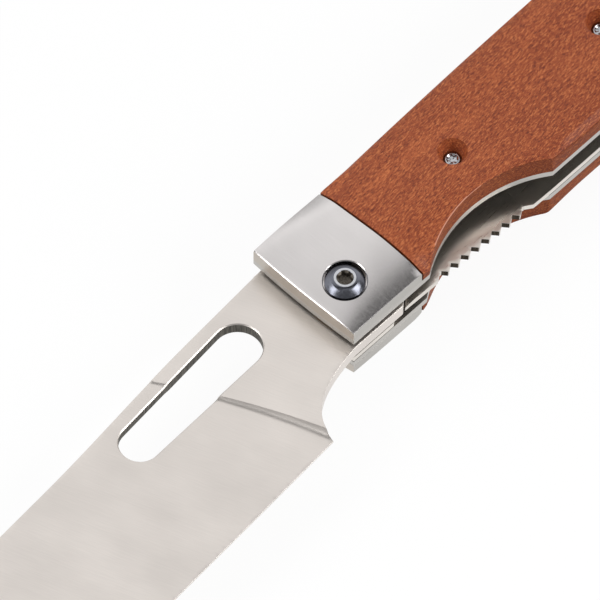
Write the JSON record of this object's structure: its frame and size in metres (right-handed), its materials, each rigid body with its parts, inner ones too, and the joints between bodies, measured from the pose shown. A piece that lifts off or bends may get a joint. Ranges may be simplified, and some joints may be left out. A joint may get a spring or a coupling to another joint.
{
  "type": "folding pocket knife",
  "caption": "Folding knife with an oblong thumb opening in its broad flat-ground blade, steel bolsters, wood covers and a liner lock that bears on the tang, shown open.",
  "frame": {"origin": "pivot axis, on the surface that the knife lies on, at the flat of the pivot's plain back head", "axes": "+X to the butt of the handle, +Y to the spine, +Z out of the front side; the open blade points to -X with its edge to -Y"},
  "size_m": [0.2507, 0.0445, 0.0196],
  "materials": {
    "blade": "satin, finely brushed",
    "bolster": "satin, brushed across",
    "plate": "satin",
    "fastener": "polished",
    "washer": "dull bronze",
    "spacer": "dull",
    "wood": "oiled, open-pored"
  },
  "bodies": {
    "handle": {"front_bolster": "bolster", "back_bolster": "bolster", "front_scale": "wood", "back_scale": "wood", "front_liner": "plate", "back_liner": "plate", "lock_plate": "plate", "backspacer": "spacer", "stop_pin": "fastener", "pivot_barrel": "fastener", "pivot_screw": "fastener", "front_washer": "washer", "back_washer": "washer", "front_scale_screw_1": "fastener", "front_scale_screw_2": "fastener", "front_scale_screw_3": "fastener", "back_scale_screw_1": "fastener", "back_scale_screw_2": "fastener", "back_scale_screw_3": "fastener", "liner_pin_1": "fastener", "liner_pin_2": "fastener", "liner_pin_3": "fastener", "liner_pin_4": "fastener"},
    "blade": {"blade": "blade"},
    "lock_bar": {"lock_bar": "plate", "detent_ball": "fastener"}
  },
  "joints": [
    {"name": "blade_pivot", "type": "hinge", "parent": "handle", "child": "blade", "pos_m": [0, 0, 0.01065], "axis": [0, 0, 1], "range_deg": [0, 166]},
    {"name": "lock_bar_flex", "type": "hinge", "parent": "handle", "child": "lock_bar", "pos_m": [0.0415, 0, 0.00745], "axis": [0, 1, 0], "range_deg": [-3.62, 0]}
  ],
  "couplings": [
    {"joint": "lock_bar_flex", "follows": "blade_pivot", "ratio": -0.0218}
  ]
}
